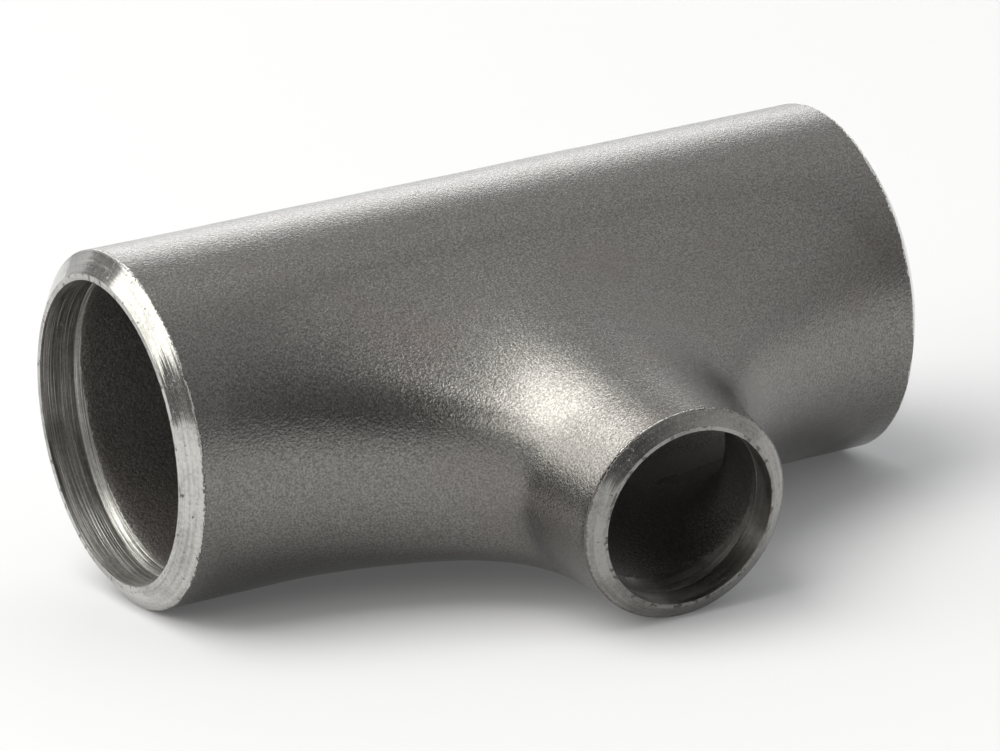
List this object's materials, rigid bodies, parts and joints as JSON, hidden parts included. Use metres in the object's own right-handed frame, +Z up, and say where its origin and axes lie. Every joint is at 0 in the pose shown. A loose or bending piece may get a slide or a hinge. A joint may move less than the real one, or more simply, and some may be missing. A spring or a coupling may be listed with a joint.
{
  "type": "reducing tee",
  "caption": "Butt-weld reducing tee: a straight run with bevelled ends and a smaller branch drawn out square to it through smooth flared shoulders.",
  "frame": {"origin": "where the axis of the run crosses the axis of the branch", "axes": "+X along the run, +Z up as the tee lies at rest, the branch leaves towards -Y and slopes down by 10.3 degrees"},
  "size_m": [0.0774, 0.0566, 0.0337],
  "materials": {
    "steel": "blasted raw skin, bright turned ends"
  },
  "bodies": {
    "root": {"tee_body": "steel"}
  },
  "joints": []
}
